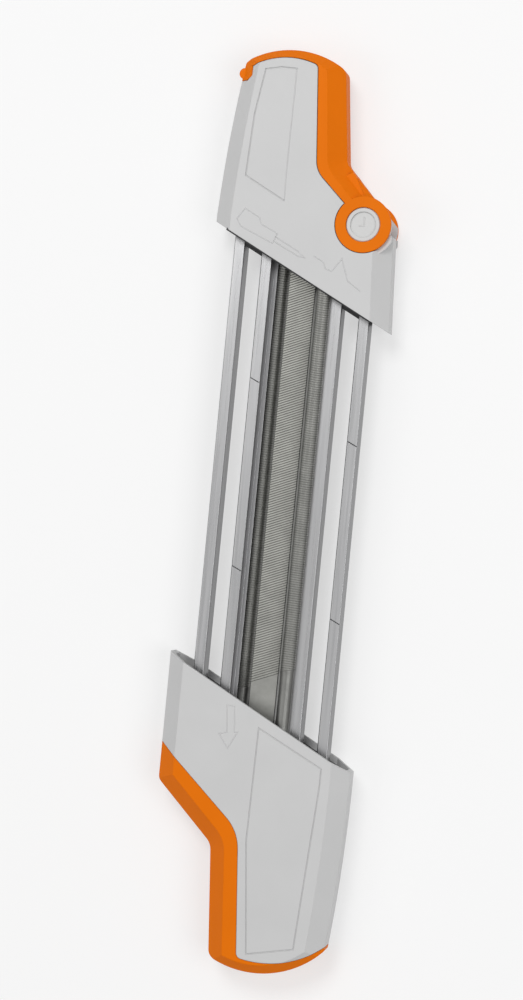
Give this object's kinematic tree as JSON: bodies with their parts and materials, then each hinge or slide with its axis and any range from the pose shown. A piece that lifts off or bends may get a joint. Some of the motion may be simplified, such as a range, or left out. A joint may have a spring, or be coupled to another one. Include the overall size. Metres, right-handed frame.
{
  "type": "chainsaw file guide",
  "caption": "Hand tool that files a saw chain's cutters and depth gauges at once: handle ends joined by rails, round files and a flat file, and a swing lever that holds them.",
  "frame": {"origin": "middle of the tool's length and width on the plane of its rear face, near the flat file's own middle", "axes": "+Y along the tool towards the lever end, +X to the right of the front face, +Z out of the front face"},
  "size_m": [0.0684, 0.3256, 0.02],
  "materials": {
    "grey_plastic": "fine grain",
    "orange_plastic": "fine grain",
    "black_plastic": "moulded",
    "cap_plastic": "fine grain",
    "rail_steel": "drawn",
    "file_steel": "cut teeth",
    "pin_steel": "turned",
    "pad_rubber": "moulded"
  },
  "bodies": {
    "frame": {"upper_front_shell": "grey_plastic", "upper_rear_shell": "grey_plastic", "lower_front_shell": "grey_plastic", "lower_rear_shell": "grey_plastic", "lower_grip_inlay": "orange_plastic", "upper_file_carrier": "black_plastic", "lower_file_carrier": "black_plastic", "outer_rail_left": "rail_steel", "inner_rail_left": "rail_steel", "inner_rail_right": "rail_steel", "outer_rail_right": "rail_steel", "upper_shell_screws": "pin_steel", "lower_shell_screws": "pin_steel", "lever_pivot_pin": "pin_steel", "pivot_cap_front": "cap_plastic", "pivot_cap_rear": "cap_plastic"},
    "lever": {"locking_lever": "orange_plastic", "file_stop_pad": "pad_rubber"},
    "front_file": {"front_round_file": "file_steel"},
    "rear_file": {"rear_round_file": "file_steel"},
    "gauge_file": {"flat_file": "file_steel"}
  },
  "joints": [
    {"name": "lever_swing", "type": "hinge", "parent": "frame", "child": "lever", "pos_m": [0.02085, 0.1028, 0.01], "axis": [0, 0, -1], "range_deg": [0, 90]},
    {"name": "front_round_file_spin", "type": "hinge", "parent": "frame", "child": "front_file", "pos_m": [0.0087, 0, 0.01556], "axis": [0, 1, 0], "continuous": true},
    {"name": "rear_round_file_spin", "type": "hinge", "parent": "frame", "child": "rear_file", "pos_m": [-0.0087, 0, 0.00444], "axis": [0, 1, 0], "continuous": true},
    {"name": "flat_file_float", "type": "slide", "parent": "frame", "child": "gauge_file", "axis": [0, 0, 1], "range_m": [0, 0.0029]}
  ]
}
